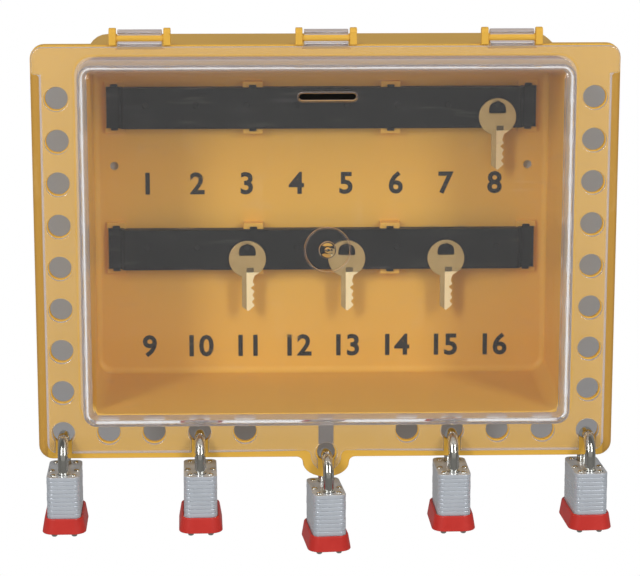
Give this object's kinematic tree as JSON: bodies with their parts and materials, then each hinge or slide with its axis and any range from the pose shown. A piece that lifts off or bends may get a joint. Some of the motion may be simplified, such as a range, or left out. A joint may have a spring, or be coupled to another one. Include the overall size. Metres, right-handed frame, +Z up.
{
  "type": "group lockout box",
  "caption": "Wall box with a flanged deep housing, a clear hinged cover that padlocks hold shut through holes round its rim, key rails with pegs inside, hanging keys and laminated padlocks.",
  "frame": {"origin": "on the wall face, at the middle of the flange's width and height", "axes": "+X to the right seen from the front, +Y into the wall, so the cover faces -Y, and +Z up"},
  "size_m": [0.382, 0.148, 0.3456],
  "materials": {
    "yellow_plastic": "moulded, deep yellow, light sheen",
    "clear_plastic": "moulded, clear, polished",
    "black_plastic": "black, satin",
    "key_metal": "bright cut, slightly dull",
    "shackle_chrome": "polished",
    "plate_steel": "plated sheet, satin",
    "red_plastic": "moulded, satin",
    "plug_brass": "machined"
  },
  "bodies": {
    "box": {"shell": "yellow_plastic", "upper_key_rail": "black_plastic", "lower_key_rail": "black_plastic"},
    "cover": {"cover": "clear_plastic"},
    "key_1": {"key_1": "key_metal"},
    "key_2": {"key_2": "key_metal"},
    "key_3": {"key_3": "key_metal"},
    "key_4": {"key_4": "key_metal"},
    "padlock_1_shackle": {"padlock_1_shackle": "shackle_chrome"},
    "padlock_1_case": {"padlock_1_plates": "plate_steel", "padlock_1_bumper": "red_plastic"},
    "padlock_1_plug": {"padlock_1_plug": "plug_brass"},
    "padlock_2_shackle": {"padlock_2_shackle": "shackle_chrome"},
    "padlock_2_case": {"padlock_2_plates": "plate_steel", "padlock_2_bumper": "red_plastic"},
    "padlock_2_plug": {"padlock_2_plug": "plug_brass"},
    "padlock_3_shackle": {"padlock_3_shackle": "shackle_chrome"},
    "padlock_3_case": {"padlock_3_plates": "plate_steel", "padlock_3_bumper": "red_plastic"},
    "padlock_3_plug": {"padlock_3_plug": "plug_brass"},
    "padlock_4_shackle": {"padlock_4_shackle": "shackle_chrome"},
    "padlock_4_case": {"padlock_4_plates": "plate_steel", "padlock_4_bumper": "red_plastic"},
    "padlock_4_plug": {"padlock_4_plug": "plug_brass"},
    "padlock_5_shackle": {"padlock_5_shackle": "shackle_chrome"},
    "padlock_5_case": {"padlock_5_plates": "plate_steel", "padlock_5_bumper": "red_plastic"},
    "padlock_5_plug": {"padlock_5_plug": "plug_brass"}
  },
  "joints": [
    {"name": "cover_hinge", "type": "hinge", "parent": "box", "child": "cover", "pos_m": [0, -0.11375, 0.1422], "axis": [-1, 0, 0], "range_deg": [0, 110]},
    {"name": "key_1_swing", "type": "hinge", "parent": "box", "child": "key_1", "pos_m": [0.1211, -0.0165, 0.08491], "axis": [0, 1, 0], "range_deg": [-25, 25]},
    {"name": "key_2_swing", "type": "hinge", "parent": "box", "child": "key_2", "pos_m": [-0.0519, -0.0165, -0.01429], "axis": [0, 1, 0], "range_deg": [-25, 25]},
    {"name": "key_3_swing", "type": "hinge", "parent": "box", "child": "key_3", "pos_m": [0.0173, -0.0165, -0.01429], "axis": [0, 1, 0], "range_deg": [-25, 25]},
    {"name": "key_4_swing", "type": "hinge", "parent": "box", "child": "key_4", "pos_m": [0.0865, -0.0165, -0.01429], "axis": [0, 1, 0], "range_deg": [-25, 25]},
    {"name": "padlock_1_swing", "type": "hinge", "parent": "box", "child": "padlock_1_shackle", "pos_m": [-0.1743, -0.11565, -0.12216], "axis": [-0.0175, 0.9998, 0], "range_deg": [-20, 20]},
    {"name": "padlock_1_release", "type": "slide", "parent": "padlock_1_shackle", "child": "padlock_1_case", "axis": [0, 0, -1], "range_m": [0, 0.0085]},
    {"name": "padlock_1_key_turn", "type": "hinge", "parent": "padlock_1_case", "child": "padlock_1_plug", "pos_m": [-0.1743, -0.11565, -0.18326], "axis": [0, 0, -1], "range_deg": [0, 90]},
    {"name": "padlock_2_swing", "type": "hinge", "parent": "box", "child": "padlock_2_shackle", "pos_m": [-0.084, -0.11565, -0.12216], "axis": [-0.0262, 0.9997, 0], "range_deg": [-20, 20]},
    {"name": "padlock_2_release", "type": "slide", "parent": "padlock_2_shackle", "child": "padlock_2_case", "axis": [0, 0, -1], "range_m": [0, 0.0085]},
    {"name": "padlock_2_key_turn", "type": "hinge", "parent": "padlock_2_case", "child": "padlock_2_plug", "pos_m": [-0.084, -0.11565, -0.18326], "axis": [0, 0, -1], "range_deg": [0, 90]},
    {"name": "padlock_3_swing", "type": "hinge", "parent": "box", "child": "padlock_3_shackle", "pos_m": [0, -0.11565, -0.13566], "axis": [-0.1045, 0.9945, 0], "range_deg": [-20, 20]},
    {"name": "padlock_3_release", "type": "slide", "parent": "padlock_3_shackle", "child": "padlock_3_case", "axis": [0, 0, -1], "range_m": [0, 0.0085]},
    {"name": "padlock_3_key_turn", "type": "hinge", "parent": "padlock_3_case", "child": "padlock_3_plug", "pos_m": [0, -0.11565, -0.19676], "axis": [0, 0, -1], "range_deg": [0, 90]},
    {"name": "padlock_4_swing", "type": "hinge", "parent": "box", "child": "padlock_4_shackle", "pos_m": [0.084, -0.11565, -0.12216], "axis": [-0.0262, 0.9997, 0], "range_deg": [-20, 20]},
    {"name": "padlock_4_release", "type": "slide", "parent": "padlock_4_shackle", "child": "padlock_4_case", "axis": [0, 0, -1], "range_m": [0, 0.0085]},
    {"name": "padlock_4_key_turn", "type": "hinge", "parent": "padlock_4_case", "child": "padlock_4_plug", "pos_m": [0.084, -0.11565, -0.18326], "axis": [0, 0, -1], "range_deg": [0, 90]},
    {"name": "padlock_5_swing", "type": "hinge", "parent": "box", "child": "padlock_5_shackle", "pos_m": [0.1743, -0.11565, -0.12216], "axis": [-0.061, 0.9981, 0], "range_deg": [-20, 20]},
    {"name": "padlock_5_release", "type": "slide", "parent": "padlock_5_shackle", "child": "padlock_5_case", "axis": [0, 0, -1], "range_m": [0, 0.0085]},
    {"name": "padlock_5_key_turn", "type": "hinge", "parent": "padlock_5_case", "child": "padlock_5_plug", "pos_m": [0.1743, -0.11565, -0.18326], "axis": [0, 0, -1], "range_deg": [0, 90]}
  ]
}
